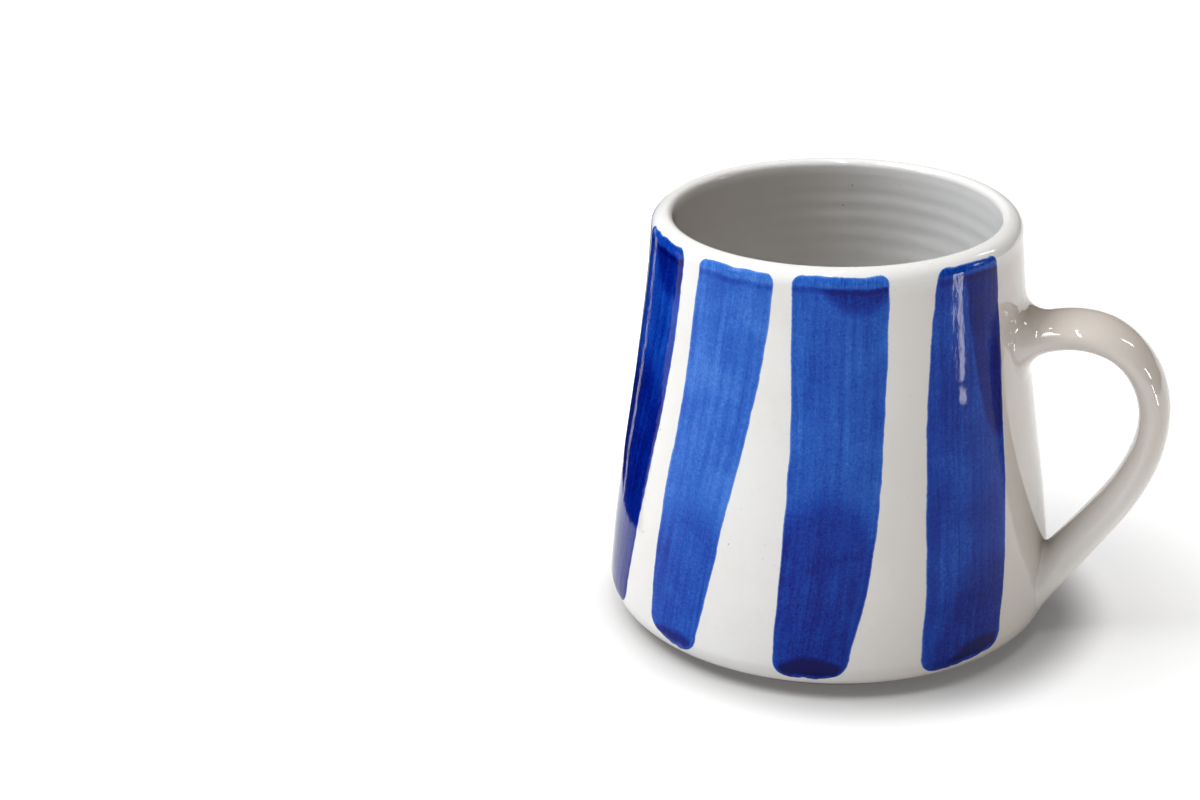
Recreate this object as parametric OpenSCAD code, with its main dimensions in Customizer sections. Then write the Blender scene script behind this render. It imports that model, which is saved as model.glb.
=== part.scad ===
// Hand-thrown stoneware mug with a pulled handle, a white glaze and cobalt brush strokes.
// The cup's axis is Z, the table is at Z = 0 and the handle points along +X.

/* [Cup] */
// Outer diameter of the wall just under the lip
rim_d = 82; // [76:1:100]
// Greatest outer diameter, near the foot
base_d = 102; // [84:1:124]
// Height from the table to the top of the lip
cup_h = 94.5; // [78:0.5:116]
// Outward slope of the wall just under the lip, as a rise of radius per unit of height
rim_slope = 0.07; // [0.02:0.01:0.12]
// Outward slope of the wall just above the foot, as a rise of radius per unit of height
base_slope = 0.087; // [0.03:0.01:0.14]
// Thickness of the fired clay wall
wall_t = 4; // [3:0.1:5.5]
// Thickness of the clay floor above the foot
floor_t = 5; // [4:0.1:7]
// Radius of the curve between the inside wall and the floor
floor_round = 11; // [7:0.5:15]
// Radius of the lip's inner edge, over the glaze; the rest of the wall's thickness rounds its outer edge
lip_inner_round = 1.5; // [1:0.1:2]
// Radius of the rounding where the wall turns under at the base, over the glaze
base_round = 5.3; // [4:0.1:7]

/* [Foot] */
// Height of the glaze's wiped edge above the table
foot_rise = 1.6; // [1.2:0.1:2.4]
// How far the bare foot stands in from the glaze's wiped edge
foot_step = 1.4; // [0.6:0.1:3]
// Width of the ring that the mug stands on
foot_ring_w = 8; // [5:0.5:12]
// Depth of the shallow hollow inside the ring
foot_hollow = 1; // [0.6:0.1:1.4]
// Bevel round the foot's outer edge
foot_bevel = 0.5; // [0.2:0.1:0.9]

/* [Glaze] */
// Thickness of the white glaze
glaze_t = 0.4; // [0.3:0.05:0.6]
// Relief of the cobalt strokes over the white glaze
paint_t = 0.2; // [0.15:0.05:0.35]
// How far the strokes start below the top of the lip
stroke_top_gap = 1.9; // [1:0.1:6]
// Radius of the corners of a stroke
stroke_corner = 3; // [1.5:0.5:5]

/* [Handle] */
// Depth of the upper root's centre below the top of the lip
handle_drop = 26; // [22:0.5:32]
// Height of the lower root's centre above the table
handle_low = 10.5; // [9.5:0.5:20]
// Depth of the handle's farthest point below the upper root
handle_far_drop = 15.5; // [12:0.5:20]
// Distance from the wall to the middle of the strap at its farthest point
handle_stand = 26.5; // [22:0.5:34]
// Upward angle at which the strap leaves the wall
handle_rise = 24; // [14:1:32]
// Steepness at which the strap meets the wall again
handle_fall = 55; // [46:1:62]
// Thickness of the strap at its upper root, its top, its farthest point and its lower root
strap_t = [8, 7.1, 6.8, 8.8]; // [5:0.1:10]
// Width of the strap at its upper root, its top, its farthest point and its lower root
strap_w = [18, 17, 12.5, 15]; // [10:0.5:20]
// Reach of the clay fillet along the strap
fillet_len = 6.5; // [4.5:0.5:8]
// Thickness of the fillet at the feathered edge where it ends on the strap
fillet_edge = 0.3; // [0.2:0.1:0.6]

/* [Hidden] */
$fn = 128;
BIG = 200;

// One row for each brush stroke, going clockwise seen from above, from the handle round to it again:
// angle at the lip and at the foot, width at the lip, half way and at the foot, height where it ends
STROKES = [
    [-34, -42.5, 18.5, 22, 20, 4.7],
    [-76, -82, 19.5, 19, 16, 4.5],
    [-109, -121, 18.5, 17.5, 13.5, 5.5],
    [-143, -153, 19.5, 21, 18, 7],
    [-178, -185, 19, 19.5, 16, 5],
    [-211, -217, 18, 19, 17, 6],
    [-245, -251, 20, 20.5, 17, 4.5],
    [-279, -283, 18, 18, 15, 5.5],
    [-316, -320, 18.5, 20, 18, 5]
];

clay_colour = [0.72, 0.62, 0.50];
glaze_colour = [0.90, 0.88, 0.84];
liner_colour = [0.80, 0.79, 0.77];
handle_colour = [0.84, 0.80, 0.74];
cobalt_colour = [0.12, 0.22, 0.66];

// ---- the pot's outline -------------------------------------------------------------------
// Every curve takes an inset: 0 is the glazed surface, glaze_t the clay, and a negative one stands proud.

rim_r = rim_d / 2;
base_r = base_d / 2;
full_t = wall_t + 2 * glaze_t;
lip_outer_round = full_t - lip_inner_round;
wall_top = cup_h - lip_outer_round;
wall_low = foot_rise + base_round * (1 + sin(atan(base_slope)));
floor_z = foot_rise + floor_t + 2 * glaze_t;
glaze_end = -80;

// Radius of the glazed outside at height z: a cubic with a set slope at each end
function wall_r(z) =
    let (
        span = wall_top - wall_low,
        t = (z - wall_low) / span,
        to_rim = t * t * (3 - 2 * t),
        near_base = base_r * (1 - to_rim) - base_slope * span * t * (1 - t) * (1 - t),
        near_rim = rim_r * to_rim + rim_slope * span * t * t * (1 - t)
    )
    near_base + near_rim;

// Points on an arc about c, from angle a to angle b
function arc(c, r, a, b, steps) =
    [for (i = [0 : steps]) let (q = a + (b - a) * i / steps) [c[0] + r * cos(q), c[1] + r * sin(q)]];

lip_lean = atan(rim_slope);
lip_centre = [rim_r - lip_outer_round * cos(lip_lean), wall_top];
base_lean = atan(base_slope);
base_centre = [base_r - base_round * cos(base_lean), foot_rise + base_round];
foot_r = base_centre[0] + (base_round - glaze_t) * cos(glaze_end) - foot_step;

// Arcs stop short of the straight stretch that they run into, which then starts with its own point
GAP_ANGLE = 8;
function base_curve(inset) = arc(base_centre, base_round - inset, glaze_end, base_lean - GAP_ANGLE, 7);
function wall_curve(inset) =
    [for (i = [0 : 12]) let (z = wall_low + (wall_top - wall_low) * i / 12) [wall_r(z) - inset, z]];
function lip_curve(inset) = arc(lip_centre, lip_outer_round - inset, lip_lean + GAP_ANGLE, 90, 6);
function outside(inset) = concat(base_curve(inset), wall_curve(inset), lip_curve(inset));

inner_lip_centre = [lip_centre[0], cup_h - lip_inner_round];
inner_low = floor_z + floor_round;
function inner_r(z) = wall_r(z) - full_t;
function inside(inset) = concat(
    arc(inner_lip_centre, lip_inner_round - inset, 90, 180 - GAP_ANGLE, 5),
    [for (i = [1 : 11]) let (z = wall_top + (inner_low - wall_top) * i / 11) [inner_r(z) + inset, z]],
    arc([inner_r(inner_low) - floor_round, inner_low], floor_round + inset, -GAP_ANGLE, -90, 6),
    [[0, floor_z - inset]]
);

function reversed(list) = [for (i = [len(list) - 1 : -1 : 0]) list[i]];

module pot_filled(inset) {
    rotate_extrude() polygon(concat(outside(inset), [[0, cup_h - inset], [0, outside(inset)[0][1]]]));
}

// ---- the handle's strap ------------------------------------------------------------------

upper_z = cup_h - handle_drop;
far_z = upper_z - handle_far_drop;
far_x = wall_r(far_z) + handle_stand;
root_depth = 1.2;
upper_x = wall_r(upper_z) - root_depth;
lower_x = wall_r(handle_low) - root_depth;
// How far each end's direction carries into the curve, and how far the farthest point's does
rise_len = 0.95 * handle_stand;
fall_len = 0.78 * handle_stand;
far_up = 8;
far_down = 15;

UPPER = [
    [upper_x, upper_z],
    [upper_x + rise_len * cos(handle_rise), upper_z + rise_len * sin(handle_rise)],
    [far_x, far_z + far_up],
    [far_x, far_z]
];
LOWER = [
    [far_x, far_z],
    [far_x, far_z - far_down],
    [lower_x + fall_len * cos(handle_fall), handle_low + fall_len * sin(handle_fall)],
    [lower_x, handle_low]
];
FREE_STEPS = 28;
RING = 24;
// The strap runs deeper into the pot than its fillets do, before the pot is cut away from both
SUNK = 5;
STRAP_SUNK = 6.5;

function bezier(p, t) =
    pow(1 - t, 3) * p[0] + 3 * pow(1 - t, 2) * t * p[1] + 3 * (1 - t) * t * t * p[2] + pow(t, 3) * p[3];
function bezier_slope(p, t) =
    pow(1 - t, 2) * (p[1] - p[0]) + 2 * (1 - t) * t * (p[2] - p[1]) + t * t * (p[3] - p[2]);
function unit(v) = v / norm(v);

// Centre and direction at s, where 0 is the upper root, 1 the farthest point and 2 the lower root
function route(s) = s <= 1 ? bezier(UPPER, s) : bezier(LOWER, s - 1);
function heading(s) = unit(s <= 1 ? bezier_slope(UPPER, s) : bezier_slope(LOWER, s - 1));
function strap_size(sizes, s) = lookup(s, [[0, sizes[0]], [0.4, sizes[1]], [1, sizes[2]], [2, sizes[3]]]);

// One oval ring across the strap; extra is [above, below, beside], all measured out from the strap
function ring(s, back, extra) =
    let (
        d = heading(s),
        c = route(s) + back * d,
        n = [-d[1], d[0]],
        half_t = strap_size(strap_t, s) / 2,
        half_w = strap_size(strap_w, s) / 2 + extra[2]
    )
    [for (i = [0 : RING - 1])
        let (
            a = 360 * i / RING,
            h = (half_t + (cos(a) > 0 ? extra[0] : extra[1])) * cos(a),
            q = c + h * n
        )
        [q[0], half_w * sin(a), q[1]]];

// A closed solid through a list of rings
module skin(rings) {
    last = (len(rings) - 1) * RING;
    sides = [for (k = [0 : len(rings) - 2]) for (i = [0 : RING - 1])
        let (j = (i + 1) % RING, lo = k * RING, hi = lo + RING) [lo + i, lo + j, hi + j, hi + i]];
    ends = [[for (i = [RING - 1 : -1 : 0]) i], [for (i = [0 : RING - 1]) last + i]];
    polyhedron(points = [for (r = rings) each r], faces = concat(sides, ends), convexity = 4);
}

// The strap has a ring wherever a fillet ends, and even steps between
upper_end = fillet_len / (1.9 * handle_stand);
lower_end = 2 - fillet_len / (2.1 * handle_stand);
free_step = (lower_end - upper_end) / FREE_STEPS;
STATIONS = concat([0], [for (i = [0 : FREE_STEPS]) upper_end + i * free_step], [2]);
NO_EXTRA = [0, 0, 0];
module strap() {
    along = [for (s = STATIONS) ring(s, 0, NO_EXTRA)];
    skin(concat([ring(0, -STRAP_SUNK, NO_EXTRA)], along, [ring(2, STRAP_SUNK, NO_EXTRA)]));
}

// Rings of a fillet about the root at s0, from its sunk end to its feathered edge at s1;
// flare is [above, below, beside]
FILLET_STEPS = 6;
UPPER_FLARE = [4, 4, 3];
LOWER_FLARE = [1, 0.4, 2.6];
function fillet(s0, s1, flare) =
    let (edge = fillet_edge * [1, 1, 1], shares = [for (k = [0 : FILLET_STEPS]) k / FILLET_STEPS])
    concat(
        [ring(s0, s0 < s1 ? -SUNK : SUNK, edge)],
        [for (u = shares) ring(s0 + (s1 - s0) * u, 0, flare * pow(1 - u, 2) + edge)]
    );
upper_fillet_rings = fillet(0, upper_end, UPPER_FLARE);
lower_fillet_rings = fillet(2, lower_end, LOWER_FLARE);
module upper_fillet() { skin(upper_fillet_rings); }
module lower_fillet() { skin(reversed(lower_fillet_rings)); }

// A fillet and the strap just beyond it in one solid, to cut the glaze with
PLUG_STEPS = 3;
module upper_plug() {
    beyond = [for (i = [0 : PLUG_STEPS]) ring(upper_end + i * free_step, 0, NO_EXTRA)];
    skin(concat(upper_fillet_rings, beyond));
}
module lower_plug() {
    beyond = [for (i = [0 : PLUG_STEPS]) ring(lower_end - i * free_step, 0, NO_EXTRA)];
    skin(reversed(concat(lower_fillet_rings, beyond)));
}

// ---- the pieces --------------------------------------------------------------------------

// Thrown clay cup with a bare turned foot
module cup_body() {
    hollow_r = foot_r - foot_ring_w;
    under = outside(glaze_t)[0][1];
    foot = [
        [0, foot_hollow],
        [hollow_r - foot_hollow, foot_hollow],
        [hollow_r, 0],
        [foot_r - foot_bevel, 0],
        [foot_r, foot_bevel],
        [foot_r, under]
    ];
    color(clay_colour)
        rotate_extrude() polygon(concat(foot, outside(glaze_t), inside(glaze_t)));
}

// Liner glaze on the inside wall and floor, up to the crest of the lip
module inner_glaze() {
    color(liner_colour)
        rotate_extrude() polygon(concat(inside(0), reversed(inside(glaze_t))));
}

// White glaze on the outside, from the crest of the lip down to its wiped edge, open where the handle joins
module outer_glaze() {
    color(glaze_colour)
        difference() {
            rotate_extrude() polygon(concat(outside(0), reversed(outside(glaze_t))));
            upper_plug();
            lower_plug();
        }
}

// Pulled strap, cut to sit on the clay wall
module handle() {
    color(handle_colour)
        difference() {
            strap();
            pot_filled(glaze_t);
        }
}

// Clay worked round the upper root
module upper_joint() {
    color(handle_colour)
        difference() {
            upper_fillet();
            strap();
            pot_filled(glaze_t);
        }
}

// Clay worked round the lower root
module lower_joint() {
    color(handle_colour)
        difference() {
            lower_fillet();
            strap();
            pot_filled(glaze_t);
        }
}

// One brush stroke: a thin coat on the glaze, within an outline seen square on
STROKE_STEPS = 8;
module blue_stroke(row) {
    top_z = cup_h - stroke_top_gap;
    facing = (row[0] + row[1]) / 2;
    heights = [for (i = [0 : STROKE_STEPS]) row[5] + (top_z - row[5]) * i / STROKE_STEPS];
    edges = [for (side = [-1, 1]) [for (i = [0 : STROKE_STEPS])
        let (
            t = i / STROKE_STEPS,
            z = heights[i],
            off = wall_r(z) * sin(row[1] + (row[0] - row[1]) * t - facing),
            w = row[4] * (1 - t) * (1 - 2 * t) + 4 * row[3] * t * (1 - t) + row[2] * t * (2 * t - 1)
        )
        [off + side * w / 2, z]]];
    color(cobalt_colour)
        intersection() {
            rotate_extrude() polygon(concat(outside(-paint_t), reversed(outside(0))));
            rotate([0, 0, facing])
                rotate([90, 0, 90])
                    linear_extrude(BIG)
                        offset(r = stroke_corner, $fn = 32)
                            offset(delta = -stroke_corner)
                                polygon(concat(edges[0], reversed(edges[1])));
        }
}

cup_body();
inner_glaze();
outer_glaze();
handle();
upper_joint();
lower_joint();
for (i = [1 : len(STROKES)])
    blue_stroke(STROKES[i - 1]);
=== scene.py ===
import math

import bpy
import numpy as np
from mathutils import Matrix, Vector


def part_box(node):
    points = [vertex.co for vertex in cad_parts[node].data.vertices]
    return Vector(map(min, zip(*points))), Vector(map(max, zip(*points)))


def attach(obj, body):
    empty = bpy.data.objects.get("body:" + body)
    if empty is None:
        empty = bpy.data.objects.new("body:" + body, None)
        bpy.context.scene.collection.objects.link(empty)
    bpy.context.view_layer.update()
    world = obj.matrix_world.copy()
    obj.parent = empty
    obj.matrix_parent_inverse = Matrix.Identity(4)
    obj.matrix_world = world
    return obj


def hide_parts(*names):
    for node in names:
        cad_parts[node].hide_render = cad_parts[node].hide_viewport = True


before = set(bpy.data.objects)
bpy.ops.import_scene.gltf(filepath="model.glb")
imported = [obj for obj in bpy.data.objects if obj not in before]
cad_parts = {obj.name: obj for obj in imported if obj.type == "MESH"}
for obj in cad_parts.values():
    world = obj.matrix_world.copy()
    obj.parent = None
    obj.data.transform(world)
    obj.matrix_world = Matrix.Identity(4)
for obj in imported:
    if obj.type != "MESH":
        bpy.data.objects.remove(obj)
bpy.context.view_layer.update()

MM = 0.001
TAU = 2 * math.pi

# ---- sizes -----------------------------------------------------------------------------------
RIM_R = 41.0
BASE_R = 51.0
CUP_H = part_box("outer_glaze")[1].z / MM
RIM_SLOPE = 0.07
BASE_SLOPE = 0.087
FULL_T = 4.8
GLAZE_T = 0.4
LIP_IN = 1.5
LIP_OUT = FULL_T - LIP_IN
BASE_ROUND = 5.3
FOOT_RISE = 1.6
FLOOR_Z = 7.4
FLOOR_ROUND = 11.0
FOOT_RING = 8.0
FOOT_HOLLOW = 1.0
FOOT_STEP = 1.4

WALL_TOP = CUP_H - LIP_OUT
WALL_LOW = FOOT_RISE + BASE_ROUND * (1 + math.sin(math.atan(BASE_SLOPE)))
LIP_LEAN = math.atan(RIM_SLOPE)
BASE_LEAN = math.atan(BASE_SLOPE)
LIP_C = (RIM_R - LIP_OUT * math.cos(LIP_LEAN), WALL_TOP)
BASE_C = (BASE_R - BASE_ROUND * math.cos(BASE_LEAN), FOOT_RISE + BASE_ROUND)
WIPE_ANGLE = math.radians(-80)
INNER_LOW = FLOOR_Z + FLOOR_ROUND


def wall_r(z):
    """Radius of the glazed outside at height z."""
    span = WALL_TOP - WALL_LOW
    t = (np.asarray(z, float) - WALL_LOW) / span
    to_rim = t * t * (3 - 2 * t)
    near_base = BASE_R * (1 - to_rim) - BASE_SLOPE * span * t * (1 - t) ** 2
    return near_base + RIM_R * to_rim + RIM_SLOPE * span * t * t * (1 - t)


def wall_slope(z):
    return (wall_r(np.asarray(z) + 0.01) - wall_r(np.asarray(z) - 0.01)) / 0.02


# ---- the pot's outline, as points and outward normals by arc length ----------------------------
def arc(c, r, a, b, facing=1):
    q = np.linspace(a, b, max(8, int(abs(b - a) * r / 0.05)))
    n = np.stack([np.cos(q), np.sin(q)], 1)
    return np.array(c) + r * n, facing * n


def upright(z, inward):
    r = wall_r(z) - (FULL_T if inward else 0)
    n = np.stack([np.ones_like(z), -wall_slope(z)], 1)
    n /= np.linalg.norm(n, axis=1)[:, None]
    return np.stack([r, z], 1), -n if inward else n


class Outline:
    """A curve in the plane through the axis: point(s), normal(s), and s at a height."""

    def __init__(self, *runs):
        self.p = np.concatenate([r[0] for r in runs])
        self.n = np.concatenate([r[1] for r in runs])
        step = np.linalg.norm(np.diff(self.p, axis=0), axis=1)
        keep = np.concatenate([[True], step > 1e-6])
        self.p, self.n = self.p[keep], self.n[keep]
        step = np.linalg.norm(np.diff(self.p, axis=0), axis=1)
        self.s = np.concatenate([[0], np.cumsum(step)])
        self.length = self.s[-1]

    def at(self, s):
        s = np.asarray(s, float)
        r, z = (np.interp(s, self.s, self.p[:, k]) for k in (0, 1))
        nr, nz = (np.interp(s, self.s, self.n[:, k]) for k in (0, 1))
        size = np.hypot(nr, nz)
        return r, z, nr / size, nz / size

    def s_at(self, z):
        return np.interp(z, self.p[:, 1], self.s)


wall_z = np.arange(WALL_LOW, WALL_TOP, 0.05)
OUT = Outline(
    arc(BASE_C, BASE_ROUND, WIPE_ANGLE, BASE_LEAN),
    upright(wall_z, False),
    arc(LIP_C, LIP_OUT, LIP_LEAN, math.pi / 2),
)
LIP_IN_C = (LIP_C[0], CUP_H - LIP_IN)
FLOOR_C = (float(wall_r(INNER_LOW)) - FULL_T - FLOOR_ROUND, INNER_LOW)
floor_r = np.arange(FLOOR_C[0], 0, -0.05)
INS = Outline(
    arc(LIP_IN_C, LIP_IN, math.pi / 2, math.pi - LIP_LEAN),
    upright(np.arange(WALL_TOP, INNER_LOW, -0.05), True),
    arc(FLOOR_C, FLOOR_ROUND, 0, -math.pi / 2, facing=-1),
    (np.stack([floor_r, np.full_like(floor_r, FLOOR_Z)], 1), np.tile([0.0, 1.0], (len(floor_r), 1))),
)


# ---- unevenness of hand-made clay --------------------------------------------------------------
def waves(seed, count, turns, length):
    """A smooth function of angle and height that joins up round the cup, about -1 to 1."""
    rng = np.random.RandomState(seed)
    m = rng.randint(turns[0], turns[1] + 1, count)
    q = TAU / rng.uniform(length[0], length[1], count) * rng.choice([-1, 1], count)
    phase = rng.uniform(0, TAU, count)
    amp = rng.uniform(0.5, 1, count)
    amp /= np.sqrt((amp**2).sum() / 2) * 1.6

    def value(theta, z):
        total = 0.0
        for k in range(count):
            total = total + amp[k] * np.cos(m[k] * theta + q[k] * z + phase[k])
        return total

    return value


def smooth(x, a, b):
    t = np.clip((np.asarray(x, float) - a) / (b - a), 0, 1)
    return t * t * (3 - 2 * t)


SWELL = waves(11, 8, (1, 3), (60, 200))
DENTS = waves(12, 16, (3, 11), (14, 50))
OUT_RIBS = waves(13, 10, (0, 1), (5, 13))
IN_DENTS = waves(14, 14, (2, 8), (12, 40))
RIB_DRIFT = waves(15, 6, (1, 3), (40, 90))
FLOOR_DRIFT = waves(16, 6, (1, 4), (30, 60))


SWELL_DEPTH = 0.10
DENT_DEPTH = 0.035
OUT_RIB_DEPTH = 0.022
RIB_PITCH = 4.6
RIDGE_DEPTH = 0.044
RIDGE_DRIFT = 0.018
IN_DENT_DEPTH = 0.05
SWIRL_DEPTH = 0.09
SWIRL_PITCH = 8.5
ROLL = 0.14
ROLL_S = 1.0
ROLL_WIDTH = 0.75


def outside_bump(theta, z):
    """A slow swell, with dents and ribs that fade out near the foot and the lip."""
    fade = smooth(z, 2, 14) * (1 - smooth(z, 88, 93))
    marks = DENT_DEPTH * DENTS(theta, z) + OUT_RIB_DEPTH * OUT_RIBS(theta, z)
    return SWELL_DEPTH * SWELL(theta, z) * smooth(z, 0, 10) + fade * marks


def inside_bump(theta, z, r):
    """Finger ridges that climb the inside wall in a slow spiral, and a swirl on the floor."""
    wall = smooth(z, 12, 20) * (1 - smooth(z, 86, 91.5))
    turn = (z / RIB_PITCH - theta / TAU) * TAU + 1.5 * RIB_DRIFT(theta, z)
    ridge = np.cos(turn) + 0.35 * np.cos(2.3 * turn + 1.1)
    strength = RIDGE_DEPTH + RIDGE_DRIFT * RIB_DRIFT(theta + 2, z)
    on_floor = (1 - smooth(z, 7.6, 12)) * (1 - smooth(r, 20, 31)) * smooth(r, 1.5, 5)
    swirl = np.cos((r / SWIRL_PITCH - theta / TAU) * TAU + FLOOR_DRIFT(theta, r))
    dents = IN_DENT_DEPTH * IN_DENTS(theta, z)
    return wall * (strength * ridge + dents) + SWIRL_DEPTH * on_floor * swirl


def bump(side, theta, s, r, z):
    """The relief of either side; outside, the glaze also gathers in a roll by its wiped edge."""
    if side is INS:
        return inside_bump(theta, z, r)
    roll = ROLL * np.exp(-(((s - ROLL_S) / ROLL_WIDTH) ** 2))
    return outside_bump(theta, z) + roll


def on_pot(side, theta, s, rise=0.0):
    """Points on the uneven glazed surface, lifted by rise, as x, y, z arrays."""
    r, z, nr, nz = side.at(s)
    d = bump(side, theta, s, r, z) + rise
    radius = r + d * nr
    return radius * np.cos(theta), radius * np.sin(theta), z + d * nz


# ---- meshes ------------------------------------------------------------------------------------
def mesh_object(name, points, faces, vectors=None):
    """A smooth-shaded object from millimetre points; vectors are named attributes in millimetres."""
    mesh = bpy.data.meshes.new(name)
    mesh.from_pydata((np.asarray(points) * MM).tolist(), [], faces)
    for key, values in (vectors or {}).items():
        made = mesh.attributes.new(key, "FLOAT_VECTOR", "POINT")
        made.data.foreach_set("vector", np.asarray(values, np.float32).ravel())
    mesh.polygons.foreach_set("use_smooth", [True] * len(mesh.polygons))
    mesh.update()
    obj = bpy.data.objects.new(name, mesh)
    bpy.context.scene.collection.objects.link(obj)
    return obj


def ring_faces(rings, around, start=0):
    """Quads between rings that each close on themselves."""
    faces = []
    for j in range(rings - 1):
        a, b = start + j * around, start + (j + 1) * around
        faces += [(a + i, a + (i + 1) % around, b + (i + 1) % around, b + i) for i in range(around)]
    return faces


def capped(rings, first, last):
    """A closed skin through rings of points (n, around, 3), with a pole at each end."""
    n, around, _ = rings.shape
    points = np.concatenate([[first], rings.reshape(-1, 3), [last]])
    faces = ring_faces(n, around, 1)
    end = len(points) - 1
    faces += [(0, 1 + (i + 1) % around, 1 + i) for i in range(around)]
    low = 1 + (n - 1) * around
    faces += [(end, low + i, low + (i + 1) % around) for i in range(around)]
    return points, outward(points, faces)


def outward(points, faces):
    """The faces, turned over if they look into the solid that they close."""
    corners = np.array([f[:3] for f in faces] + [(f[0], f[2], f[3]) for f in faces if len(f) == 4])
    a, b, c = (points[corners[:, k]] for k in range(3))
    volume = (a * np.cross(b, c)).sum()
    return faces if volume > 0 else [f[::-1] for f in faces]


def turned(rows, around):
    """Rings of points from rows of (side, s, rise)."""
    theta = np.arange(around) * TAU / around
    return np.stack([np.stack(on_pot(side, theta, s, rise), 1) for side, s, rise in rows])


def spaced(a, b, step):
    return list(np.linspace(a, b, max(2, int(round(abs(b - a) / step)) + 1)))


POLE_GAP = 0.6
GLAZE_AROUND = 320
CLAY_AROUND = 256
LINER_FADE = (1.2, 4.5)


def glaze_rows():
    """Rings from the middle of the inside floor to the wiped edge, then back on the clay side."""
    floor_s = INS.length
    corner_s = floor_s - FLOOR_C[0]
    wall_s = corner_s - FLOOR_ROUND * math.pi / 2
    lip_s = LIP_IN * math.pi / 2
    rows = [(INS, s, 0) for s in spaced(floor_s - POLE_GAP, corner_s, 1.1)[:-1]]
    rows += [(INS, s, 0) for s in spaced(corner_s, wall_s, 0.9)[:-1]]
    rows += [(INS, s, 0) for s in spaced(wall_s, lip_s + 2, 0.9)[:-1]]
    rows += [(INS, s, 0) for s in spaced(lip_s + 2, 0, 0.3)]
    top = OUT.length
    rows += [(OUT, s, 0) for s in spaced(top, top - 7, 0.35)[1:-1]]
    rows += [(OUT, s, 0) for s in spaced(top - 7, 9, 1.15)[:-1]]
    rows += [(OUT, s, 0) for s in spaced(9, 3, 0.45)[:-1]]
    rows += [(OUT, s, 0) for s in spaced(3, 0, 0.22)]
    rows += [(OUT, 0, -0.16), (OUT, 0, -0.34)]
    clay = -GLAZE_T
    rows += [(OUT, s, clay) for s in spaced(0.3, top, 6)[:-1]]
    rows += [(INS, s, clay) for s in spaced(0.4, floor_s - POLE_GAP, 6)]
    return rows


def make_glaze():
    """The white glaze as one skin, inside and out, that says which part of it is the liner."""
    rows = glaze_rows()
    rings = turned(rows, GLAZE_AROUND)
    points, faces = capped(rings, rings[0].mean(0), rings[-1].mean(0))
    liner = [float(smooth(s, *LINER_FADE)) if side is INS else 0.0 for side, s, _ in rows]
    share = np.concatenate([[1.0], np.repeat(liner, GLAZE_AROUND), [1.0]])
    zero = np.zeros_like(share)
    return mesh_object("white_glaze", points, faces, {"liner": np.stack([share, zero, zero], 1)})


def foot_profile(foot_r, hollow_r, under_r, under_z):
    """The bare foot's outline, from the middle of its hollow out to the glaze's wiped edge."""
    profile = [(r, FOOT_HOLLOW) for r in spaced(2, hollow_r - 1.2, 0.8)]
    profile += [(hollow_r - 0.7, 0.8), (hollow_r - 0.25, 0.3), (hollow_r + 0.1, 0.08)]
    profile += [(r, 0) for r in spaced(hollow_r + 0.5, foot_r - 0.75, 0.7)]
    profile += [(foot_r - 0.45, 0.06), (foot_r - 0.15, 0.22), (foot_r, 0.55)]
    profile += [(foot_r + 0.02, z) for z in spaced(0.9, under_z - 0.15, 0.35)]
    return profile + [(foot_r + 0.25, under_z + 0.05), (under_r - 0.5, under_z + 0.06)]


def foot_ring(r, z, hollow_r):
    """One ring of the foot, with a turning groove in the hollow and the ring it stands on left flat."""
    theta = np.arange(CLAY_AROUND) * TAU / CLAY_AROUND
    on_hollow = smooth(hollow_r - r, 1, 2)
    groove = 0.07 * on_hollow * np.cos((r / 1.7 - theta / TAU) * TAU)
    chatter = 0.015 * DENTS(theta, r * 2)
    radius = r + (0.05 * SWELL(theta, 5) if r > hollow_r - 2 else 0)
    flat = 0 if z < 0.01 else 1
    height = z + flat * (groove + chatter)
    return np.stack([radius * np.cos(theta), radius * np.sin(theta), height], 1)


def make_clay():
    """The clay cup under the glaze, with a turned foot left bare."""
    inset = -GLAZE_T + 0.01
    under_r, under_z = OUT.at(0)[0], OUT.at(0)[1] + GLAZE_T
    foot_r = under_r - FOOT_STEP
    hollow_r = foot_r - FOOT_RING
    rings = [foot_ring(r, z, hollow_r) for r, z in foot_profile(foot_r, hollow_r, under_r, under_z)]
    middle = rings[0].mean(0)
    rows = [(OUT, s, inset) for s in spaced(0.05, OUT.length, 1.5)[:-1]]
    rows += [(INS, s, inset) for s in spaced(0.1, INS.length - 0.8, 1.5)]
    rings = np.concatenate([np.stack(rings), turned(rows, CLAY_AROUND)])
    points, faces = capped(rings, middle, rings[-1].mean(0))
    return mesh_object("clay_body", points, faces)


# ---- the handle --------------------------------------------------------------------------------
HANDLE_DROP = 26.0
HANDLE_LOW = 10.5
FAR_DROP = 15.5
STAND = 26.5
RISE = math.radians(24)
FALL = math.radians(55)
UPPER_Z = CUP_H - HANDLE_DROP
FAR_Z = UPPER_Z - FAR_DROP
FAR_X = float(wall_r(FAR_Z)) + STAND
UPPER_X = float(wall_r(UPPER_Z)) - 1.2
LOWER_X = float(wall_r(HANDLE_LOW)) - 1.2
RISE_LEN = 0.95 * STAND
FALL_LEN = 0.78 * STAND
UPPER = np.array([
    (UPPER_X, UPPER_Z),
    (UPPER_X + RISE_LEN * math.cos(RISE), UPPER_Z + RISE_LEN * math.sin(RISE)),
    (FAR_X, FAR_Z + 8),
    (FAR_X, FAR_Z),
])
LOWER = np.array([
    (FAR_X, FAR_Z),
    (FAR_X, FAR_Z - 15),
    (LOWER_X + FALL_LEN * math.cos(FALL), HANDLE_LOW + FALL_LEN * math.sin(FALL)),
    (LOWER_X, HANDLE_LOW),
])
# The strap's thickness and width at stations along it: 0 upper root, 1 farthest point, 2 lower root
STATIONS = [0, 0.4, 1, 2]
STRAP_T = [8, 7.1, 6.8, 8.8]
STRAP_W = [18, 17, 12.5, 15]


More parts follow.
